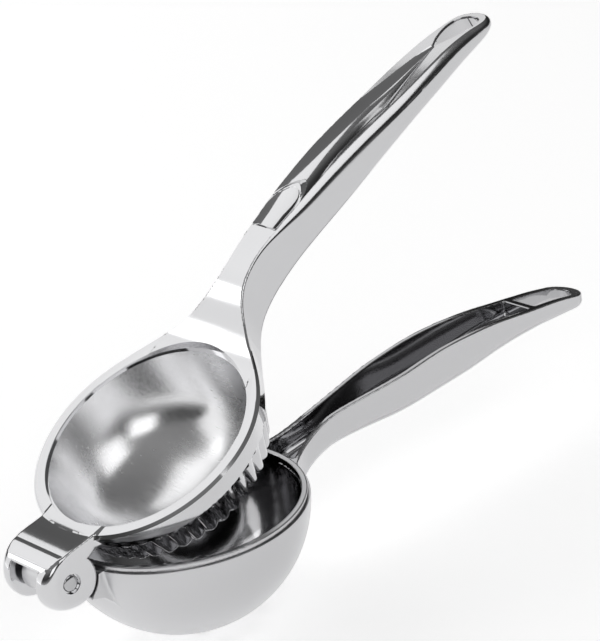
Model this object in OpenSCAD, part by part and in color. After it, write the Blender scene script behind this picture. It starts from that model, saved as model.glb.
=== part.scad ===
// Hand-held citrus press: two hinged stainless castings and one hinge pin.
// The bowl lever holds the fruit half, the press lever closes over it and turns it inside out.
// Millimetres, +Z up along the bowl's axis, +X from the hinge towards the handles,
// origin at the centre of the bowl lever's hanging hole.

/* [Stance] */
// Angle between the two levers, 0 is fully nested
open_angle = 26; // [2:1:110]

/* [Hinge] */
// Distance from the hinge pin's axis to the centre of the bowl
reach = 46.5; // [46:0.5:48]
// Width of the hinge tab across both cheeks
hinge_w = 22.2; // [20:0.2:24]
// Radius of the two cheeks round the pin
cheek_r = 8.7; // [8.2:0.1:9]
// Width of the slot between the cheeks
slot_w = 12; // [11:0.5:13]
// Diameter of the hinge pin
pin_d = 4.8; // [4:0.1:5.4]

/* [Bowl] */
// Outer radius of the raised lip round the bowl's mouth
lip_r = 37; // [36.6:0.1:37.4]
// Width of the raised lip
lip_w = 1.7; // [1.4:0.1:2]
// Outer radius of the bowl below the lip
bowl_r = 37.8; // [37.6:0.1:38.4]
// Thickness of the bowl's wall
bowl_wall = 2.6; // [2.2:0.1:3]
// Diameter of the drain holes
drain_d = 4.2; // [3:0.2:5]

/* [Press cup] */
// Outer radius at the top of the polished rim
rim_r = 35.7; // [35:0.1:36.2]
// Inner radius at the mouth of the press cup
mouth_r = 31.8; // [31:0.1:32.2]
// Height of the rim's top face above the pin's axis when closed
rim_top = 4.7; // [4:0.1:5.4]
// Depth of the press cup below its rim
cup_depth = 26; // [22:1:27]
// Number of lobes round the fluted skirt
lobes = 42; // [30:2:48]

/* [Handles] */
// Wall thickness of the channel-shaped handles
wall = 1.9; // [1.6:0.1:2.4]
// Distance from the hinge pin's axis to the tip of the handles
length = 211; // [208:1:216]

/* [Hidden] */
$fn = 96;
eps = 0.01;

tongue_w = 8.8;                   // width of the tongue that fills the slot's middle
rim_low = 0.4;                    // top of the bowl's lip above the pin's axis
bowl_c = 1.2;                     // centre height of the bowl's sphere
fit_run = 0.05;                   // radial running clearance of the tongue on the pin
fit_tight = 0.02;                 // radial clearance of the cheeks on the pin
gap = 0.4;                        // clearance between the moving faces
band_low = -2.1;                  // lower edge of the plain band on the press cup
skirt_low = -12.8;                // lower edge of the fluted skirt
steel = [0.80, 0.80, 0.81];

// hanging hole of the bowl lever, from the pin's axis: this is the part's origin
hole_b = [196.5, 0, 1.6];

// ---- design stations of the two handles: [x, half width, top z, bottom z] from the pin's axis ----
low = [
  [ 78, 14.0, -1.4, -16.0],
  [ 84,  9.0, -0.6, -11.0],
  [ 90,  6.4,  1.1, -7.9],
  [101,  4.9,  4.4, -5.4],
  [112,  6.0,  5.8, -5.0],
  [128,  8.1,  7.5, -4.8],
  [145,  8.1,  9.3, -4.0],
  [158,  8.0,  9.2, -3.2],
  [170,  7.7,  8.4, -2.0],
  [184,  7.4,  6.3, -1.4],
  [197,  6.7,  4.6, -1.3],
  [204,  6.6,  3.0, -1.7],
  [211,  6.6,  1.4, -2.0]];
top = [
  [ 60, 31.0,  4.7, -0.6],
  [ 66, 27.0,  4.95, -0.6],
  [ 72, 23.2,  5.7, -0.6],
  [ 78, 18.0,  7.4, 0.4],
  [ 84, 12.2, 10.6, 1.2],
  [ 90,  7.4, 14.6, 1.9],
  [ 96,  5.3, 17.4,  2.8],
  [105,  5.0, 19.5,  4.5],
  [113,  5.8, 20.1,  6.4],
  [122,  7.3, 20.6,  7.6],
  [137,  8.2, 20.9,  8.0],
  [151,  8.4, 20.1,  8.5],
  [169,  8.4, 18.1,  8.7],
  [183,  7.9, 16.7,  8.2],
  [192,  7.4, 15.4,  7.7],
  [200,  6.9, 13.7,  7.0],
  [206,  6.8, 11.8,  6.9],
  [211,  6.8,  9.6,  7.5]];

// ---- cubic (Catmull-Rom) reading of column c of a station table at distance x ----
function clampi(i, n) = max(0, min(n - 1, i));
function slope(t, i, c) = let (a = clampi(i - 1, len(t)), b = clampi(i + 1, len(t)))
  (t[b][c] - t[a][c]) / (t[b][0] - t[a][0]);
function seg(t, x, i = 0) = (i >= len(t) - 2 || x < t[i + 1][0]) ? i : seg(t, x, i + 1);
function at(t, x, c) = let (i = seg(t, x), h = t[i + 1][0] - t[i][0], u = max(0, min(1, (x - t[i][0]) / h)))
  (2 * pow(u, 3) - 3 * u * u + 1) * t[i][c] + (pow(u, 3) - 2 * u * u + u) * h * slope(t, i, c)
  + (3 * u * u - 2 * pow(u, 3)) * t[i + 1][c] + (pow(u, 3) - u * u) * h * slope(t, i + 1, c);
// half width at x, closed by a round tip
tip_r = 6.7;
function half(t, x) = x <= length - tip_r ? at(t, x, 1)
  : min(at(t, x, 1), sqrt(max(0, tip_r * tip_r - pow(x - length + tip_r, 2))));
// stations from a to b, gathered towards the round tip
function sweep(a, b, n) = [for (i = [0 : n]) a + (b - a) * i / n];

// outline seen from above, shrunk by d
module plan(t, a, b, d, n = 44) {
  xs = concat(sweep(a, min(b, length - tip_r), n),
              b > length - tip_r ? [for (q = [10 : 10 : 90]) length - tip_r + tip_r * sin(q)] : []);
  m = len(xs) - 1;
  polygon(concat([for (x = xs) [x, max(0.25, half(t, x) - d)]],
                 [for (i = [m : -1 : 0]) [xs[i], -max(0.25, half(t, xs[i]) - d)]]));
}
// outline seen from the side, top lowered by dt and bottom raised by db
module side(t, a, b, dt, db, n = 44) {
  xs = sweep(a, b, n);
  polygon(concat([for (x = xs) [x, at(t, x, 2) - dt]],
                 [for (i = [n : -1 : 0]) [xs[i], at(t, xs[i], 3) + db]]));
}
module along_y(w) rotate([90, 0, 0]) translate([0, 0, -w / 2]) linear_extrude(height = w) children();
module loft(t, a, b, d, dt, db, n = 60)
  intersection() {
    along_y(80) side(t, a, b, dt, db, n);
    translate([0, 0, -30]) linear_extrude(height = 70) plan(t, a, b, d, n);
  }

// pointed-oval hole with its round end towards the tip
module eye(l, w) {
  r = w / 2;
  union() {
    translate([l / 2 - r, 0]) circle(r = r);
    polygon([[-l / 2, 0], [-l / 2 + l * 0.18, w * 0.24], [-l / 2 + l * 0.38, w * 0.42], [l / 2 - r, r],
             [l / 2 - r, -r], [-l / 2 + l * 0.38, -w * 0.42], [-l / 2 + l * 0.18, -w * 0.24]]);
  }
}

// ---------------------------------------------------------------- bowl lever
module bowl_solid()
  translate([reach, 0, 0]) rotate_extrude(convexity = 4) {
    // round body below the lip
    intersection() {
      translate([0, bowl_c]) circle(r = bowl_r);
      translate([0, -60]) square([60, 60 + rim_low - 1.3]);
    }
    // raised lip
    translate([0, -6]) square([lip_r, 6 + rim_low]);
  }
module bowl_hollow()
  translate([reach, 0, 0]) rotate_extrude(convexity = 4) {
    intersection() {
      translate([0, bowl_c]) circle(r = bowl_r - bowl_wall);
      translate([0, -60]) square([60, 60 + rim_low - 1.0]);
    }
    translate([0, rim_low - 1.4]) square([lip_r - lip_w, 10]);
  }
module drains()
  translate([reach, 0, -45]) {
    cylinder(d = drain_d, h = 20);
    for (i = [0 : 5]) rotate([0, 0, i * 60]) translate([9, 0, 0]) cylinder(d = drain_d, h = 20);
    for (i = [0 : 11]) rotate([0, 0, 15 + i * 30]) translate([17.5, 0, 0]) cylinder(d = drain_d, h = 24);
  }
module boss() {
  difference() {
    along_y(hinge_w) polygon([[1, -1.2], [13, -1.2], [24, -1.2], [24, -22], [15.2, -16.5], [9.5, -10.4], [6, -8.2], [1, -7.6]]);
    rotate([90, 0, 0]) translate([0, 0, -20]) cylinder(r = cheek_r + gap, h = 40);
  }
  // tongue between the cheeks, round the pin
  along_y(tongue_w) polygon([[0, 4.8], [5, 2.2], [10, -1.3], [14, -1.3], [14, -9], [8, -7.6], [0, -4.8]]);
  rotate([90, 0, 0]) translate([0, 0, -(tongue_w) / 2]) cylinder(r = 5.4, h = tongue_w);
}
module bowl_lever()
  color(steel) frame_shift()
    difference() {
      union() {
        bowl_solid();
        boss();
        difference() {
          loft(low, 78, length, 0, 0, 0);
          // channel open upwards
          loft(low, 74, 185.5, wall, -12, wall + 0.3, 40);
        }
      }
      bowl_hollow();
      drains();
      translate(hole_b + [0, 0, -10]) linear_extrude(height = 20) eye(15, 6.6);
      rotate([90, 0, 0]) translate([0, 0, -15]) cylinder(d = pin_d + 2 * fit_run, h = 30);
    }

// ---------------------------------------------------------------- press lever
module cup_solid()
  translate([reach, 0, 0]) rotate_extrude(convexity = 4) {
    polygon([[0, rim_top], [rim_r - 0.5, rim_top], [rim_r, rim_top - 0.5], [33.9, band_low],
             [30.0, skirt_low], [28.0, skirt_low - 0.5], [0, skirt_low - 0.5]]);
    intersection() {
      translate([0, 16.1]) circle(r = 40.1);
      translate([0, -40]) square([40, 40 + skirt_low]);
    }
  }
module cup_hollow()
  translate([reach, 0, 0]) rotate_extrude(convexity = 4) {
    translate([0, rim_top - 0.9]) square([mouth_r, 30]);
    polygon([[0, rim_top], [mouth_r - 0.9, rim_top], [mouth_r - 0.9, rim_top - 2], [28.8, -8.5], [0, -8.5]]);
    intersection() {
      translate([0, rim_top - cup_depth + 37.9]) circle(r = 37.9);
      translate([0, -40]) square([40, 31.9]);
    }
  }
// V-shaped valleys that divide the skirt into lobes
module valleys()
  translate([reach, 0, 0])
    for (i = [0 : lobes - 1]) rotate([0, 0, (i + 0.5) * 360 / lobes])
      translate([33.5, 0, band_low - 0.3]) rotate([0, 20.3, 0]) translate([0, 0, -11.6])
        linear_extrude(height = 11.6) polygon([[-1.1, 0], [0.9, -1.5], [0.9, 1.5]]);
module tab() {
  // plate from the rim to the hinge, wrapping round the pin as a barrel
  intersection() {
    along_y(hinge_w) union() {
      polygon([[-2.1, 8.44], [6, 7.4], [13.5, 5.2], [20, rim_top], [24, rim_top], [24, 1.2], [8.0, 1.2], [8.0, -2], [0, -2]]);
      circle(r = cheek_r);
    }
    translate([0, 0, -20]) linear_extrude(height = 40)
      polygon([[-12, -hinge_w / 2], [8, -hinge_w / 2], [24, -hinge_w / 2 - 2], [24, hinge_w / 2 + 2], [8, hinge_w / 2], [-12, hinge_w / 2]]);
  }
}
module slot()
  along_y(slot_w) union() {
    circle(r = 6);
    polygon([[-12, 7.2], [-3, 7.2], [2, 6.7], [7, 5.6], [13, 3.9], [13, -12], [-12, -12]]);
  }
module press_handle()
  difference() {
    loft(top, 60, length, 0, 0, 0, 56);
    // hollow underside
    loft(top, 88, 186, wall, wall + 1.4, -12, 40);
    // thumb dimple
    translate([119.5, 0, 45.2]) sphere(r = 25.9);
    // long shallow groove of the grip
    translate([157, 0, 0]) groove();
    // hanging hole
    translate([199.2, 0, 0]) linear_extrude(height = 30) eye(16.6, 8);
  }
module groove()
  rotate([0, 5.2, 0]) translate([0, 0, 54.1])
    intersection() {
      rotate([0, 90, 0]) translate([0, 0, -26]) cylinder(r = 36, h = 52);
      translate([0, 0, -60]) linear_extrude(height = 60)
        polygon(concat([for (i = [0 : 20]) [-26 + i * 2.6, 5.3 * pow(sin(i * 9), 0.6)]],
                       [for (i = [19 : -1 : 1]) [-26 + i * 2.6, -5.3 * pow(sin(i * 9), 0.6)]]));
    }
module press_lever()
  color(steel) frame_shift() rotate([0, -open_angle, 0])
    difference() {
      union() {
        difference() {
          cup_solid();
          valleys();
        }
        tab();
        press_handle();
      }
      cup_hollow();
      slot();
      rotate([90, 0, 0]) translate([0, 0, -15]) cylinder(d = pin_d + 2 * fit_tight, h = 30);
      // counterbores round the pin's ends
      for (s = [-1, 1]) translate([0, s * (hinge_w / 2 + 1), 0]) rotate([90, 0, 0])
        translate([0, 0, -2]) cylinder(d = pin_d + 1.0, h = 4);
    }

// ---------------------------------------------------------------- hinge pin
module hinge_pin()
  color(steel) frame_shift()
    rotate([90, 0, 0]) rotate_extrude() intersection() {
      translate([0, -hinge_w / 2 - 0.1]) square([pin_d / 2, hinge_w + 0.2]);
      circle(r = hinge_w / 2 + 0.1);
    }

module frame_shift() translate(-hole_b) children();

bowl_lever();
press_lever();
hinge_pin();
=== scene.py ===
import math
import bpy
import numpy as np
from mathutils import Matrix, Vector


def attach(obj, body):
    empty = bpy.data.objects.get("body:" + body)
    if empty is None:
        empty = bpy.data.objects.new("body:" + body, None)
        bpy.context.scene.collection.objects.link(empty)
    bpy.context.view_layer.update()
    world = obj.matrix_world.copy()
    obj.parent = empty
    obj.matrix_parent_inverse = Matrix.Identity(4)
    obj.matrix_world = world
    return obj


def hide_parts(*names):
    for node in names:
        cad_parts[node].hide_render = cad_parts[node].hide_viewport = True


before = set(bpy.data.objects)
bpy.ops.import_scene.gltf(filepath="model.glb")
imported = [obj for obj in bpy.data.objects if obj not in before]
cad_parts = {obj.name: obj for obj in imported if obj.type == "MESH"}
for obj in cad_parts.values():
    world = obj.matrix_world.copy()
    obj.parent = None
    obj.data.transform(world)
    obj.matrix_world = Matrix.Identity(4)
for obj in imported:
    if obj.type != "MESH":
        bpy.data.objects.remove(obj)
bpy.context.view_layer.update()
H = 0.42          # mesh pitch, mm

# All shapes below are in millimetres from the hinge pin's axis: X to the handles, Z up along the bowl.
# The press lever is shaped closed and then turned open by OPEN degrees.
OPEN = math.radians(26.0)
HB = np.array([196.5, 0.0, 1.6])
REACH = 46.5


# ------------------------------------------------------------------ helpers
def smin(a, b, k):
    h = np.maximum(k - np.abs(a - b), 0.0) / k
    return np.minimum(a, b) - h * h * k * 0.25


def smax(a, b, k):
    return -smin(-a, -b, k)


def sstep(a, b, x):
    t = np.clip((x - a) / (b - a), 0.0, 1.0)
    return t * t * (3 - 2 * t)


def table(rows, col, sigma=2.4):
    """A smooth curve through one column of a station table, returned as a function of x."""
    t = np.array(rows, float)
    xs, v = t[:, 0], t[:, col]
    m = np.gradient(v, xs)
    for i in range(1, len(xs) - 1):
        m[i] = (v[i + 1] - v[i - 1]) / (xs[i + 1] - xs[i - 1])
    d = np.arange(xs[0], xs[-1] + 1e-6, 0.2)
    i = np.clip(np.searchsorted(xs, d, side="right") - 1, 0, len(xs) - 2)
    h = xs[i + 1] - xs[i]
    u = (d - xs[i]) / h
    y = ((2 * u ** 3 - 3 * u ** 2 + 1) * v[i] + (u ** 3 - 2 * u ** 2 + u) * h * m[i]
         + (3 * u ** 2 - 2 * u ** 3) * v[i + 1] + (u ** 3 - u ** 2) * h * m[i + 1])
    if sigma > 0:
        n = int(4 * sigma / 0.2)
        k = np.exp(-0.5 * (np.arange(-n, n + 1) * 0.2 / sigma) ** 2)
        k /= k.sum()
        s0, s1 = (y[1] - y[0]), (y[-1] - y[-2])
        pad0 = y[0] - s0 * np.arange(n, 0, -1)
        pad1 = y[-1] + s1 * np.arange(1, n + 1)
        y = np.convolve(np.concatenate([pad0, y, pad1]), k, mode="valid")
    return lambda x: np.interp(x, d, y)


# x, half width, top z, bottom z, half width of the flat top face, shoulder radius
TOP = [
    (56, 34.0, 4.7, -0.6, 33.6, 0.5),
    (60, 31.0, 4.75, -0.6, 30.6, 0.5),
    (66, 27.0, 5.0, -0.6, 26.6, 0.5),
    (72, 23.2, 5.7, -0.4, 22.8, 0.5),
    (78, 18.0, 7.4, 0.4, 17.5, 0.6),
    (84, 12.2, 10.6, 1.2, 11.6, 0.8),
    (90, 7.4, 14.6, 1.9, 6.8, 0.9),
    (96, 5.4, 17.4, 2.8, 4.85, 1.0),
    (105, 5.05, 19.5, 4.5, 4.55, 1.4),
    (113, 6.1, 20.1, 6.4, 5.2, 2.4),
    (122, 7.4, 20.6, 7.7, 5.8, 4.2),
    (137, 8.2, 20.9, 8.3, 6.2, 5.3),
    (151, 8.4, 20.1, 8.8, 6.3, 5.4),
    (169, 8.4, 18.1, 8.9, 6.3, 5.2),
    (183, 7.9, 16.7, 8.3, 5.9, 4.6),
    (192, 7.3, 15.4, 7.8, 5.6, 4.0),
    (200, 6.9, 13.5, 7.1, 5.4, 3.4),
    (206, 6.8, 11.55, 6.9, 5.4, 2.8),
    (212, 6.8, 9.1, 7.2, 5.4, 2.2),
]
LOW = [
    (76, 16.5, -1.6, -18.0, 0, 0),
    (80, 12.4, -1.2, -14.0, 0, 0),
    (84, 9.2, -0.6, -11.0, 0, 0),
    (90, 6.5, 1.1, -7.9, 0, 0),
    (101, 4.9, 4.4, -5.4, 0, 0),
    (112, 6.0, 5.9, -5.0, 0, 0),
    (128, 8.1, 7.6, -4.8, 0, 0),
    (145, 8.1, 9.3, -4.0, 0, 0),
    (158, 8.0, 9.2, -3.2, 0, 0),
    (170, 7.7, 8.3, -2.0, 0, 0),
    (184, 7.4, 6.3, -1.4, 0, 0),
    (197, 6.8, 4.5, -1.3, 0, 0),
    (204, 6.6, 3.1, -1.7, 0, 0),
    (212, 6.6, 1.3, -2.1, 0, 0),
]
tW, tT, tB, tA, tR = (table(TOP, c) for c in (1, 2, 3, 4, 5))
lW, lT, lB = (table(LOW, c) for c in (1, 2, 3))
tabT = table([(-9, 8.7), (-5, 8.65), (-2.1, 8.44), (2, 8.15), (6, 7.4), (10, 6.25), (13.5, 5.35), (17, 4.82),
              (20, 4.7), (24, 4.7), (30, 4.7)], 1, 0.8)


def section(x, ay, z, W, T, B, rt, rb, tipx, tipr):
    u = np.where(x > tipx, np.hypot(x - tipx, ay) - tipr, ay - W)
    mid, hh = (T + B) * 0.5, (T - B) * 0.5
    w = sstep(-1.0, 1.0, (z - mid) / np.maximum(hh * 0.35, 0.3))
    rr = np.minimum(rt * w + rb * (1 - w), hh * 0.98)
    qu, qv = u + rr, np.abs(z - mid) - hh + rr
    return np.minimum(np.maximum(qu, qv), 0) + np.hypot(np.maximum(qu, 0), np.maximum(qv, 0)) - rr


# ------------------------------------------------------------------ press lever
def press(x, y, z):
    ay = np.abs(y)
    dx = x - REACH
    r = np.hypot(dx, y)
    th = np.arctan2(y, dx)
    # polished band with a bright bevel at its top
    rise = np.where(x > 54, tT(np.clip(x, 56, 80)), 4.7)
    band = ((r - 33.45) * 8.1 - (z + 3.9) * 2.25) / 8.407
    bevel = (r - 34.75) * 0.62 + (z - rise) * 0.785
    # fluted skirt: convex lobes with sharp valleys
    crest = ((r - 33.95) * 10.7 - (z + 2.1) * 3.85) / 11.372
    amp = 1.35 * np.clip((-2.0 - z) / 1.6, 0, 1) ** 0.8
    lobe = crest + amp * (1 - np.abs(np.cos(21 * th)))
    side = np.maximum(band, lobe)
    skirt = smax(side, -13.0 - z, 2.2)
    cup = np.maximum(skirt, np.maximum(z - rise, bevel) * 0.9)
    dome = np.maximum(np.hypot(r, z - 14.06) - 38.06, z + 12.2)
    d = np.minimum(cup, dome)
    # handle with its flare
    W, T, B, A, R = tW(x), tT(x), tB(x), tA(x), tR(x)
    k = np.clip(A - (W - R), 0.0, R * 0.999)
    crown = R - np.sqrt(R * R - k * k)
    rb = 0.5 + 2.0 * sstep(84, 104, x)
    body = section(x, ay, z, W, T + crown, B, R, rb, 204.3, 6.7)
    # thumb dimple, then the long lens groove of the grip
    e = 1 - (np.maximum(x - 118.5, 0) / 9.2) ** 2 - (y / (A * 0.98)) ** 2
    step = np.clip((x - 112.4) / 1.2, 0, 1)
    dimple = 1.15 * np.minimum(np.maximum(0, e) ** 0.8, 1) * step
    s = np.clip((x - 121.5) / (193.5 - 121.5), 0, 1)
    gw = np.maximum(A * 0.99 * np.minimum(1, (np.maximum(1 - s, 0) / 0.42) ** 0.8), 0.05)
    gdepth = 1.5 * np.sin(np.pi * np.clip(s, 0.12, 1)) ** 0.45
    beg = np.clip((x - (129.2 - 7.4 * (ay / 6.2) ** 1.7)) / 2.2, 0, 1) ** 0.6
    g = gdepth * beg * np.maximum(0, 1 - (y / gw) ** 2)
    face = T - dimple - g
    body = np.maximum(body, (z - face) * 0.9)
    chamf = (ay - (W - 0.95 * (1 - sstep(80, 95, x)))) * 0.62 * 0.8 + (z - T) * 0.785
    body = np.maximum(body, np.where(x < 100, chamf, -9.0))
    start = 70.0 - x
    body = np.maximum(body, start)
    # hollow underside
    inn = smax(ay - (W - 1.9), z - (T - 3.6), 2.5)
    inn = smax(smax(inn, 94.0 - x, 3.0), x - 186.0, 3.0)
    body = smax(body, -inn, 0.5)
    # hanging hole
    hx = 203.4
    u = (hx - x) / 12.6
    hole = np.where(x > hx, np.hypot(x - hx, y) - 4.1, (ay - 4.1 * (1 - np.clip(u, 0, 2) ** 2)) * 0.85)
    hole = np.minimum(hole, np.maximum(hole - 0.5, T - 0.55 - z))
    body = np.maximum(body, -hole)
    d = smin(d, body * 0.8, 2.2)
    d = np.maximum(d, (z - np.where(x > 56, face, rise)) * 0.9)
    # plate to the hinge, wrapping the pin as a barrel
    zt = tabT(x)
    tab = np.maximum(np.maximum((z - zt) * 0.95, 1.2 - z), np.maximum(-2.1 - x, x - 24))
    tab = np.minimum(tab, np.hypot(x, z) - 8.5)
    tab = smax(tab, ay - 11.1, 0.7 + 3.6 * sstep(5, -7, x))
    slot = np.maximum(np.maximum(ay - 6.0, x - 13.0), z - np.minimum(zt - 1.15, 7.35))
    tab = smax(tab, -slot, 0.5)
    d = smin(d, tab, 1.4)
    # mouth of the cup
    cone = ((r - 31.3) * 12.4 - (z - 3.9) * 2.9) / 12.735
    floor = np.hypot(r, z - 16.6) - 37.9
    hollow = np.maximum(smax(cone, floor, 5.5), z - 3.9)
    mouth = np.maximum(r - 31.8, 3.8 - z)
    d = np.maximum(d, -np.minimum(hollow, mouth))
    # bore and counterbores
    rp = np.hypot(x, z)
    d = np.maximum(d, 2.42 - rp)
    d = np.maximum(d, -np.maximum(rp - 2.95, 10.3 - ay))
    return d


# ------------------------------------------------------------------ bowl lever
def bowl(x, y, z):
    ay = np.abs(y)
    dx = x - REACH
    r = np.hypot(dx, y)
    ball = np.hypot(r, z - 1.2)
    d = smax(ball - 37.8, z + 1.0, 0.5)
    lip = smax(np.maximum(r - 37.0, -6 - z), z - 0.4, 0.5)
    d = np.minimum(d, lip)
    d = np.maximum(d, -np.maximum(np.maximum(36.55 - r, r - 50), np.abs(z + 0.98) - 0.16))
    # boss and tongue of the hinge
    rp = np.hypot(x, z)
    low = np.interp(x, [0, 6, 9.5, 12.5, 15.2, 24], [-7.4, -7.6, -8.8, -11.8, -15.5, -22])
    boss = np.maximum(np.maximum(z + 1.2, (low - z) * 0.7), np.maximum(ay - 11.1, x - 26))
    boss = np.maximum(smax(boss, 9.1 - rp, 0.4), 2.0 - x)
    d = smin(d, boss, 0.7)
    tong = np.maximum(np.maximum(z - np.interp(x, [0, 5, 10, 20], [4.6, 2.2, -1.3, -1.3]), -7.0 - z), np.maximum(-x, x - 16))
    tong = np.minimum(tong, rp - 5.5)
    tong = smax(tong, ay - 4.4, 0.5)
    d = np.minimum(d, tong)
    # handle
    W, T, B = lW(x), lT(x), lB(x)
    rb = 2.5 + 1.6 * sstep(90, 120, x) - 2.2 * sstep(182, 200, x)
    body = section(x, ay, z, W, T, B, 0.45 + 0 * x, np.minimum(rb, W * 0.8), 204.4, 6.6)
    body = np.maximum(body, 74.0 - x)
    wi = W - 1.75
    chan = smax(ay - wi, (B + 2.3) - z, 3.0)
    chan = smax(smax(chan, 84.0 - x, 2.0), x - 185.2, 1.2)
    hx = 202.6
    eye = np.where(x > hx, np.hypot(x - hx, y) - 4.5, ay - (4.5 + 0.35 * (hx - x) / 14))
    eye = smax(eye, 188.0 - x, 1.6)
    body = smax(body, -chan, 0.45)
    body = smax(body, -eye, 0.45)
    d = smin(d, body * 0.85, 1.0)
    # inside of the bowl
    inside = np.minimum(np.maximum(ball - 35.2, z + 0.6), np.maximum(r - 35.3, -1.6 - z))
    d = smax(d, -inside, 0.3)
    # drain holes
    a = np.arctan2(y, dx)
    rad = r
    for ring, n, ph in ((0, 1, 0.0), (9.0, 6, 0.0), (17.5, 12, math.pi / 12)):
        if ring == 0:
            q = rad - 2.1
        else:
            w = 2 * math.pi / n
            aa = (a - ph + w / 2) % w - w / 2
            q = np.hypot(rad * np.cos(aa) - ring, rad * np.sin(aa)) - 2.1
        d = smax(d, -np.maximum(q, z + 20), 0.5)
    d = np.maximum(d, 2.46 - rp)
    return d


# ------------------------------------------------------------------ dual contouring
def contour(f, lo, hi, h, name):
    B = 8
    lo = np.array(lo, float)
    nb = np.ceil((np.array(hi, float) - lo) / (h * B)).astype(int)
    n = nb * B + 1
    cc = [lo[i] + (np.arange(nb[i]) + 0.5) * B * h for i in range(3)]
    CX, CY, CZ = np.meshgrid(*cc, indexing="ij")
    dc = f(CX.ravel(), CY.ravel(), CZ.ravel()).reshape(nb)
    keep = np.abs(dc) < B * h * 0.5 * math.sqrt(3) * 1.15
    V = np.repeat(np.repeat(np.repeat(dc, B, 0), B, 1), B, 2).astype(np.float32)
    V = np.pad(V, ((0, 1), (0, 1), (0, 1)), mode="edge")
    need = np.zeros(n, bool)
    for bi, bj, bk in np.argwhere(keep):
        need[bi * B:bi * B + B + 1, bj * B:bj * B + B + 1, bk * B:bk * B + B + 1] = True
    ids = np.flatnonzero(need)
    strides = (n[1] * n[2], n[2])
    Vr = V.reshape(-1)
    for c in range(0, len(ids), 400000):
        q = ids[c:c + 400000]
        i, rem = np.divmod(q, strides[0])
        j, k = np.divmod(rem, strides[1])
        Vr[q] = f(lo[0] + i * h, lo[1] + j * h, lo[2] + k * h)
    del need, ids
    # crossing edges on each axis
    P, A0, I0 = [], [], []
    for ax in range(3):
        sl0 = [slice(None)] * 3
        sl1 = [slice(None)] * 3
        sl0[ax] = slice(0, -1)
        sl1[ax] = slice(1, None)
        v0, v1 = V[tuple(sl0)], V[tuple(sl1)]
        w = np.argwhere((v0 < 0) != (v1 < 0))
        a = v0[tuple(w.T)].astype(float)
        b = v1[tuple(w.T)].astype(float)
        ok = np.ones(len(w), bool)
        for o in range(3):
            if o != ax:
                ok &= (w[:, o] > 0) & (w[:, o] < n[o] - 1)
        w, a, b = w[ok], a[ok], b[ok]
        base = lo + w * h
        ta, tb = np.zeros(len(w)), np.ones(len(w))
        fa, fb = a.copy(), b.copy()
        t = fa / (fa - fb)
        for it in range(4):
            p = base.copy()
            t = ta + (tb - ta) * np.clip(fa / (fa - fb), 0.05, 0.95)
            p[:, ax] += t * h
            fv = f(p[:, 0], p[:, 1], p[:, 2])
            same = (fv < 0) == (fa < 0)
            ta = np.where(same, t, ta)
            fa = np.where(same, fv, fa)
            tb = np.where(same, tb, t)
            fb = np.where(same, fb, fv)
        t = ta + (tb - ta) * fa / (fa - fb)
        p = base.copy()
        p[:, ax] += t * h
        P.append(p)
        A0.append(a < 0)
        I0.append(w)

    def grad(p, e=0.02):
        g = np.empty_like(p)
        for ax in range(3):
            q = p.copy()
            q[:, ax] += e
            g1 = f(q[:, 0], q[:, 1], q[:, 2])
            q[:, ax] -= 2 * e
            g[:, ax] = g1 - f(q[:, 0], q[:, 1], q[:, 2])
        g /= 2 * e
        L = np.linalg.norm(g, axis=1)
        return g / np.maximum(L, 1e-9)[:, None], L

    cells, nrm, pts = [], [], []
    quads = []
    cn = n - 1
    for ax in range(3):
        o1, o2 = [o for o in range(3) if o != ax]
        G, _ = grad(P[ax])
        w = I0[ax]
        cid = []
        for s1, s2 in ((-1, -1), (0, -1), (0, 0), (-1, 0)):
            c = w.copy()
            c[:, o1] += s1
            c[:, o2] += s2
            k = (c[:, 0] * cn[1] + c[:, 1]) * cn[2] + c[:, 2]
            cid.append(k)
            cells.append(k)
            nrm.append(G)
            pts.append(P[ax])
        q = np.stack(cid, 1)
        flip = A0[ax] if ax != 1 else ~A0[ax]
        q[~flip] = q[~flip][:, ::-1]
        quads.append(q)
    cells = np.concatenate(cells)
    nrm = np.concatenate(nrm)
    pts = np.concatenate(pts)
    quads = np.concatenate(quads)
    uc, inv = np.unique(cells, return_inverse=True)
    m = len(uc)
    cnt = np.bincount(inv, minlength=m).astype(float)
    mass = np.stack([np.bincount(inv, pts[:, i], m) for i in range(3)], 1) / cnt[:, None]
    rel = pts - mass[inv]
    bb = (nrm * rel).sum(1)
    ATA = np.zeros((m, 3, 3))
    ATb = np.zeros((m, 3))
    for i in range(3):
        ATb[:, i] = np.bincount(inv, nrm[:, i] * bb, m)
        for j in range(i, 3):
            ATA[:, i, j] = ATA[:, j, i] = np.bincount(inv, nrm[:, i] * nrm[:, j], m)
    ev, U = np.linalg.eigh(ATA)
    good = ev > np.maximum(ev[:, 2:3] * 0.04, 1e-6)
    inve = np.where(good, 1 / np.maximum(ev, 1e-9), 0)
    x = np.einsum("nij,nj->ni", U, inve * np.einsum("nji,nj->ni", U, ATb))
    feature = ev[:, 1] / ev[:, 2] > 0.04
    ci = np.stack([uc // (cn[1] * cn[2]), (uc // cn[2]) % cn[1], uc % cn[2]], 1)
    clo = lo + ci * h
    v = mass + x
    v = np.clip(v, clo - 0.02 * h, clo + 1.02 * h)
    quads = np.searchsorted(uc, quads)
    # smooth vertices are put exactly on the surface
    g, L = grad(v)
    val = f(v[:, 0], v[:, 1], v[:, 2])
    step = np.clip(val / np.maximum(L, 0.2), -0.3 * h, 0.3 * h)
    v = np.where(feature[:, None], v, v - g * step[:, None])
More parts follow.
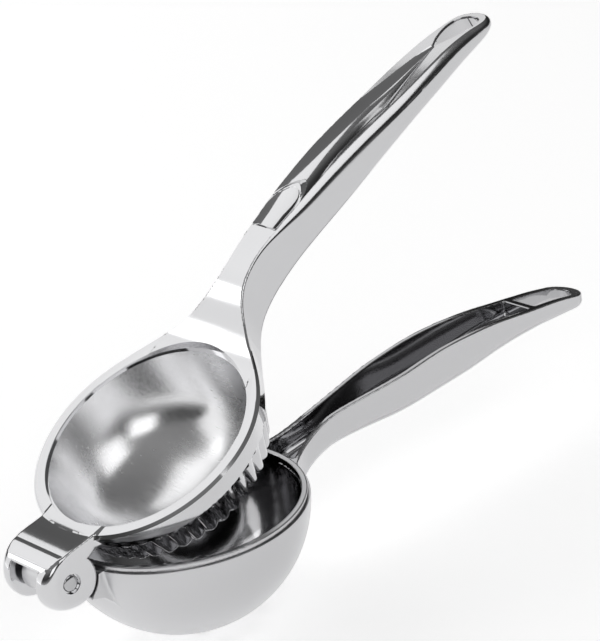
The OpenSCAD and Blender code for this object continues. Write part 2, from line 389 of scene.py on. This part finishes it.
    # split each quad along the diagonal that lies on the surface
    a, b, c, d = quads.T
    m1 = (v[a] + v[c]) / 2
    m2 = (v[b] + v[d]) / 2
    f1 = np.abs(f(m1[:, 0], m1[:, 1], m1[:, 2]))
    f2 = np.abs(f(m2[:, 0], m2[:, 1], m2[:, 2]))
    one = f1 <= f2
    t1 = np.where(one[:, None], np.stack([a, b, c], 1), np.stack([a, b, d], 1))
    t2 = np.where(one[:, None], np.stack([a, c, d], 1), np.stack([b, c, d], 1))
    tris = np.concatenate([t1, t2])
    # drop slivers
    e1 = v[tris[:, 1]] - v[tris[:, 0]]
    e2 = v[tris[:, 2]] - v[tris[:, 0]]
    area = np.linalg.norm(np.cross(e1, e2), axis=1)
    tris = tris[area > 1e-7]
    # corner normals: at the vertex where it is smooth, a little inside the face at a crease
    gv, _ = grad(v)
    cen = v[tris].mean(1)
    N = gv[tris]
    fm = feature[tris]
    ti, tj = np.nonzero(fm)
    q = v[tris[ti, tj]] * 0.5 + cen[ti] * 0.5
    gq, _ = grad(q)
    N[ti, tj] = gq
    # a corner whose normal strays far from its face is a thin crease: use the face's own
    e1 = v[tris[:, 1]] - v[tris[:, 0]]
    e2 = v[tris[:, 2]] - v[tris[:, 0]]
    fn = np.cross(e1, e2)
    fn /= np.maximum(np.linalg.norm(fn, axis=1), 1e-12)[:, None]
    dot = (N * fn[:, None, :]).sum(2)
    bad = dot < 0.5
    N = np.where(bad[..., None], np.broadcast_to(fn[:, None, :], N.shape), N)
    print(name, "verts", len(v), "tris", len(tris), "bad corners", int(bad.sum()))
    return v, tris, N


def to_part(p, press_side, vec=False):
    q = p.copy()
    if press_side:
        c, s = math.cos(OPEN), math.sin(OPEN)
        q[..., 0], q[..., 2] = p[..., 0] * c - p[..., 2] * s, p[..., 0] * s + p[..., 2] * c
    return q if vec else (q - HB) / 1000.0


def mesh_object(name, v, tris, N, mats, idx, press_side):
    me = bpy.data.meshes.new(name)
    P = to_part(v, press_side)
    NN = to_part(N, press_side, True)
    me.vertices.add(len(P))
    me.vertices.foreach_set("co", P.astype(np.float32).ravel())
    me.loops.add(len(tris) * 3)
    me.loops.foreach_set("vertex_index", tris.astype(np.int32).ravel())
    me.polygons.add(len(tris))
    me.polygons.foreach_set("loop_start", np.arange(0, len(tris) * 3, 3, dtype=np.int32))
    me.polygons.foreach_set("loop_total", np.full(len(tris), 3, np.int32))
    for mt in mats:
        me.materials.append(mt)
    me.polygons.foreach_set("material_index", idx.astype(np.int32))
    me.update(calc_edges=True)
    me.polygons.foreach_set("use_smooth", np.ones(len(tris), bool))
    me.normals_split_custom_set(NN.reshape(-1, 3).astype(np.float32).tolist())
    me.update()
    ob = bpy.data.objects.new(name, me)
    bpy.context.scene.collection.objects.link(ob)
    return ob


# ------------------------------------------------------------------ materials
def node(nt, kind, **kw):
    n = nt.nodes.new(kind)
    for k, v in kw.items():
        setattr(n, k, v)
    return n


def steel(name, color, rough, rough_var, scale, stretch, bump, wear=0.02, turn=(0, 0, 0)):
    """Stainless steel: hairlines stretched along one way, a cloudy roughness and faint handling marks."""
    m = bpy.data.materials.new(name)
    m.use_nodes = True
    nt = m.node_tree
    bs = nt.nodes["Principled BSDF"]
    bs.inputs["Metallic"].default_value = 1.0
    co = node(nt, "ShaderNodeTexCoord")
    mp = node(nt, "ShaderNodeMapping")
    mp.inputs["Scale"].default_value = stretch
    mp.inputs["Rotation"].default_value = turn
    nt.links.new(co.outputs["Object"], mp.inputs["Vector"])
    hair = node(nt, "ShaderNodeTexNoise")
    hair.inputs["Scale"].default_value = scale
    hair.inputs["Detail"].default_value = 4.0
    hair.inputs["Roughness"].default_value = 0.6
    nt.links.new(mp.outputs["Vector"], hair.inputs["Vector"])
    cloud = node(nt, "ShaderNodeTexNoise")
    cloud.inputs["Scale"].default_value = 45.0
    cloud.inputs["Detail"].default_value = 3.0
    nt.links.new(co.outputs["Object"], cloud.inputs["Vector"])
    mixn = node(nt, "ShaderNodeMath", operation="MULTIPLY_ADD")
    mixn.inputs[1].default_value = 0.6
    nt.links.new(cloud.outputs["Fac"], mixn.inputs[0])
    half = node(nt, "ShaderNodeMath", operation="MULTIPLY")
    half.inputs[1].default_value = 0.4
    nt.links.new(hair.outputs["Fac"], half.inputs[0])
    nt.links.new(half.outputs["Value"], mixn.inputs[2])
    rr = node(nt, "ShaderNodeMapRange")
    rr.inputs["From Min"].default_value = 0.3
    rr.inputs["From Max"].default_value = 0.7
    rr.inputs["To Min"].default_value = max(0.01, rough - rough_var)
    rr.inputs["To Max"].default_value = rough + rough_var
    nt.links.new(mixn.outputs["Value"], rr.inputs["Value"])
    nt.links.new(rr.outputs["Result"], bs.inputs["Roughness"])
    ramp = node(nt, "ShaderNodeValToRGB")
    ramp.color_ramp.elements[0].position = 0.3
    ramp.color_ramp.elements[0].color = tuple(c * (1 - wear) for c in color) + (1,)
    ramp.color_ramp.elements[1].position = 0.7
    ramp.color_ramp.elements[1].color = tuple(min(1, c * (1 + wear)) for c in color) + (1,)
    nt.links.new(mixn.outputs["Value"], ramp.inputs["Fac"])
    nt.links.new(ramp.outputs["Color"], bs.inputs["Base Color"])
    if bump > 0:
        bp = node(nt, "ShaderNodeBump")
        bp.inputs["Strength"].default_value = bump
        bp.inputs["Distance"].default_value = 0.00004
        nt.links.new(hair.outputs["Fac"], bp.inputs["Height"])
        nt.links.new(bp.outputs["Normal"], bs.inputs["Normal"])
    return m


polish = steel("polished_steel", (0.62, 0.62, 0.63), 0.075, 0.025, 900.0, (1.0, 1.0, 1.0), 0.06, 0.015)
grip = steel("grip_steel", (0.58, 0.58, 0.59), 0.12, 0.04, 1400.0, (0.06, 1.0, 1.0), 0.12, 0.02)
# cup inside: brushed hairlines and a rougher finish, with a base colour far brighter than the other steels as painted
# light for the light that fills the cup
brushed_painted_light = steel("brushed_cup_painted_light", (0.84, 0.84, 0.85), 0.25, 0.07, 1500.0, (1.0, 0.05, 0.6), 0.45, 0.04, (0.35, 0.0, 0.9))
satin = steel("satin_steel", (0.57, 0.57, 0.58), 0.30, 0.015, 1600.0, (1.0, 1.0, 0.08), 0.004, 0.008)
# inside of the bowl and of the handle's channel: polished finish, with a base colour darker than the satin outside as
# painted shade in these hollows
mirror_and_painted_shade = steel("bowl_inside_steel_painted_shade", (0.44, 0.44, 0.45), 0.10, 0.03, 1300.0, (1.0, 1.0, 0.06), 0.25, 0.02)
# hinge pin: base colour darker than the cheeks around it, painted shade on the pin head
pinm = steel("pin_steel", (0.46, 0.46, 0.47), 0.12, 0.04, 1800.0, (1.0, 1.0, 1.0), 0.2, 0.03)

# ------------------------------------------------------------------ press lever mesh
v, tris, N = contour(press, (-9.6, -36.8, -25.0), (211.8, 36.8, 22.2), H, "press")
c = v[tris].mean(1)
r = np.hypot(c[:, 0] - REACH, c[:, 1])
# faces inside the cup get the bright brushed steel: painted light on the cup's inside
inside = (r < 31.75) & (c[:, 2] < 3.7) & ((N[:, 0, 2] > 0.02) | (r < 0.5)) & \
         ((N[:, 0, 0] * (c[:, 0] - REACH) + N[:, 0, 1] * c[:, 1]) < 0.5) & (c[:, 2] > -22.2)
up = N.mean(1)[:, 2] > -0.15
inside &= up
gripz = (c[:, 0] > 84) & ~((np.abs(c[:, 1]) < tA(c[:, 0])) & (c[:, 2] > tT(c[:, 0]) - 1.6) & (N.mean(1)[:, 2] > 0.6))
idx = np.where(inside, 1, np.where(gripz, 2, 0))
press_ob = mesh_object("press_lever_look", v, tris, N, [polish, brushed_painted_light, grip], idx, True)
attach(press_ob, "press")
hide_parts("press_lever")

# ------------------------------------------------------------------ bowl lever mesh
v, tris, N = contour(bowl, (-6.4, -38.6, -37.4), (211.8, 38.6, 10.4), H, "bowl")
c = v[tris].mean(1)
r = np.hypot(c[:, 0] - REACH, c[:, 1])
ball = np.hypot(r, c[:, 2] - 1.2)
# the bowl's inside and the handle's channel get the darker steel: painted shade in the hollows
inn = (ball < 36.2) & (r < 35.9) & (c[:, 2] < 0.2)
chan = (c[:, 0] > 80) & (np.abs(c[:, 1]) < lW(c[:, 0]) - 0.3) & (c[:, 2] > lB(c[:, 0]) + 1.6)
idx = np.where(inn | chan, 1, 0)
bowl_ob = mesh_object("bowl_lever_look", v, tris, N, [satin, mirror_and_painted_shade], idx, False)
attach(bowl_ob, "bowl")
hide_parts("bowl_lever")

# ------------------------------------------------------------------ hinge pin
prof = [(0.0, 11.16)] + [(2.4 * math.sin(a), 10.45 + 0.7 * math.cos(a)) for a in np.linspace(0.25, 1.45, 8)] + [(2.4, 10.4)]
prof = prof + [(2.4, t) for t in np.linspace(9.0, -9.0, 12)] + [(a, -b) for a, b in reversed(prof)]
NS = 72
pv, pf = [], []
rings = []
for rr_, yy in prof:
    if rr_ < 1e-6:
        rings.append([len(pv)])
        pv.append((0.0, yy, 0.0))
    else:
        rings.append(list(range(len(pv), len(pv) + NS)))
        for i in range(NS):
            a = 2 * math.pi * i / NS
            pv.append((rr_ * math.cos(a), yy, rr_ * math.sin(a)))
for ra, rb_ in zip(rings[:-1], rings[1:]):
    for i in range(NS):
        j = (i + 1) % NS
        if len(ra) == 1:
            pf.append((ra[0], rb_[j], rb_[i]))
        elif len(rb_) == 1:
            pf.append((ra[i], ra[j], rb_[0]))
        else:
            pf.append((ra[i], ra[j], rb_[j], rb_[i]))
pv = np.array(pv)
me = bpy.data.meshes.new("hinge_pin_look")
me.from_pydata([tuple(p) for p in to_part(pv, False)], [], pf)
me.materials.append(pinm)
me.polygons.foreach_set("use_smooth", np.ones(len(pf), bool))
me.update()
import bmesh
bm = bmesh.new()
bm.from_mesh(me)
bmesh.ops.recalc_face_normals(bm, faces=bm.faces)
bm.to_mesh(me)
bm.free()
pin_ob = bpy.data.objects.new("hinge_pin_look", me)
bpy.context.scene.collection.objects.link(pin_ob)
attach(pin_ob, "press")
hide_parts("hinge_pin")

# ------------------------------------------------------------------ stage, lights, camera
def plain(name, color, rough=0.9, emit=0.0):
    m = bpy.data.materials.new(name)
    m.use_nodes = True
    bs = m.node_tree.nodes["Principled BSDF"]
    bs.inputs["Base Color"].default_value = tuple(color) + (1,)
    bs.inputs["Roughness"].default_value = rough
    bs.inputs["Specular IOR Level"].default_value = 0.1
    if emit > 0:
        bs.inputs["Emission Color"].default_value = tuple(color) + (1,)
        bs.inputs["Emission Strength"].default_value = emit
    return m


def quad(name, centre, u, w, mat):
    """A flat panel with half axes u and w."""
    c, u, w = Vector(centre), Vector(u), Vector(w)
    me = bpy.data.meshes.new(name)
    me.from_pydata([c - u - w, c + u - w, c + u + w, c - u + w], [], [(0, 1, 2, 3)])
    me.materials.append(mat)
    ob = bpy.data.objects.new(name, me)
    bpy.context.scene.collection.objects.link(ob)
    return ob


FLOOR_Z = (-36.62 - 1.6) / 1000.0
floor_ob = quad("floor", (0, 0, FLOOR_Z), (6, 0, 0), (0, 6, 0), plain("floor_white", (0.94, 0.94, 0.94), 0.95, 0.6))


def area(name, loc, target, sx, sy, power, color=(1, 1, 1)):
    li = bpy.data.lights.new(name, "AREA")
    li.shape = "RECTANGLE"
    li.size, li.size_y = sx, sy
    li.energy = power
    li.color = color
    ob = bpy.data.objects.new(name, li)
    ob.location = loc
    d = Vector(target) - Vector(loc)
    ob.rotation_euler = d.to_track_quat("-Z", "Y").to_euler()
    bpy.context.scene.collection.objects.link(ob)
    return ob


MID = (-0.09, 0.0, 0.02)


def soft(name, azim, elev, dist, sx, sy, radiance):
    """A soft box seen from the object at an azimuth (0 is +X, 90 is +Y) and elevation, with a stated brightness."""
    a, e = math.radians(azim), math.radians(elev)
    loc = [MID[0] + dist * math.cos(e) * math.cos(a), MID[1] + dist * math.cos(e) * math.sin(a), MID[2] + dist * math.sin(e)]
    return area(name, loc, MID, sx, sy, radiance * math.pi * sx * sy)


soft("back_top", 108, 43, 1.4, 1.1, 1.1, 1.05)
soft("left_back", 137, 13, 1.5, 1.1, 0.95, 1.05)
soft("right_top", -84, 44, 1.4, 0.9, 0.95, 1.2)
soft("front", -131, 24, 1.9, 1.0, 0.8, 1.45)
soft("right_back", 53, 31, 1.6, 0.7, 0.7, 0.9)

w = bpy.data.worlds.new("studio")
bpy.context.scene.world = w
w.use_nodes = True
nt = w.node_tree
bg = nt.nodes["Background"]
tc = node(nt, "ShaderNodeTexCoord")
sep = node(nt, "ShaderNodeSeparateXYZ")
nt.links.new(tc.outputs["Generated"], sep.inputs["Vector"])
ramp = node(nt, "ShaderNodeValToRGB")
cr = ramp.color_ramp
stops = [(0.0, 0.30), (0.10, 0.10), (0.22, 0.03), (0.40, 0.06), (0.60, 0.16), (0.85, 0.20), (1.0, 0.18)]
cr.elements[0].position, cr.elements[0].color = 0.0, (stops[0][1],) * 3 + (1,)
cr.elements[1].position, cr.elements[1].color = 1.0, (stops[-1][1],) * 3 + (1,)
for p, g in stops[1:-1]:
    e = cr.elements.new(p)
    e.color = (g, g, g, 1)
nt.links.new(sep.outputs["Z"], ramp.inputs["Fac"])
sidew = node(nt, "ShaderNodeMapRange")
for key, val in (("From Min", -1.0), ("From Max", 1.0), ("To Min", 1.5), ("To Max", 0.5)):
    sidew.inputs[key].default_value = val
nt.links.new(sep.outputs["X"], sidew.inputs["Value"])
nt.links.new(ramp.outputs["Color"], bg.inputs["Color"])
nt.links.new(sidew.outputs["Result"], bg.inputs["Strength"])

cam = bpy.data.cameras.new("camera")
cam.sensor_fit = "HORIZONTAL"
cam.sensor_width = 36.0
cam.lens = 2814.0 * 36.0 / 600.0
cam.shift_x = -(316.44 - 300.0) / 600.0
cam.shift_y = (341.05 - 320.5) / 600.0
cam.clip_start, cam.clip_end = 0.05, 30.0
cam.dof.use_dof = False
cam_ob = bpy.data.objects.new("camera", cam)
rv = np.array([1.83818787, -0.806885036, 0.337499967])
tv = np.array([-73.1477411, 62.9370707, 764.95406])
th = np.linalg.norm(rv)
k = rv / th
K = np.array([[0, -k[2], k[1]], [k[2], 0, -k[0]], [-k[1], k[0], 0]])
R = np.eye(3) + math.sin(th) * K + (1 - math.cos(th)) * K @ K
pos = (-R.T @ tv - HB) / 1000.0
M = Matrix([[R[0, i], -R[1, i], -R[2, i], pos[i]] for i in range(3)] + [[0, 0, 0, 1]])
cam_ob.matrix_world = M
bpy.context.scene.collection.objects.link(cam_ob)
bpy.context.scene.camera = cam_ob

bpy.context.scene.view_settings.view_transform = "Standard"
bpy.context.scene.view_settings.look = "None"
bpy.context.scene.view_settings.exposure = 0.0

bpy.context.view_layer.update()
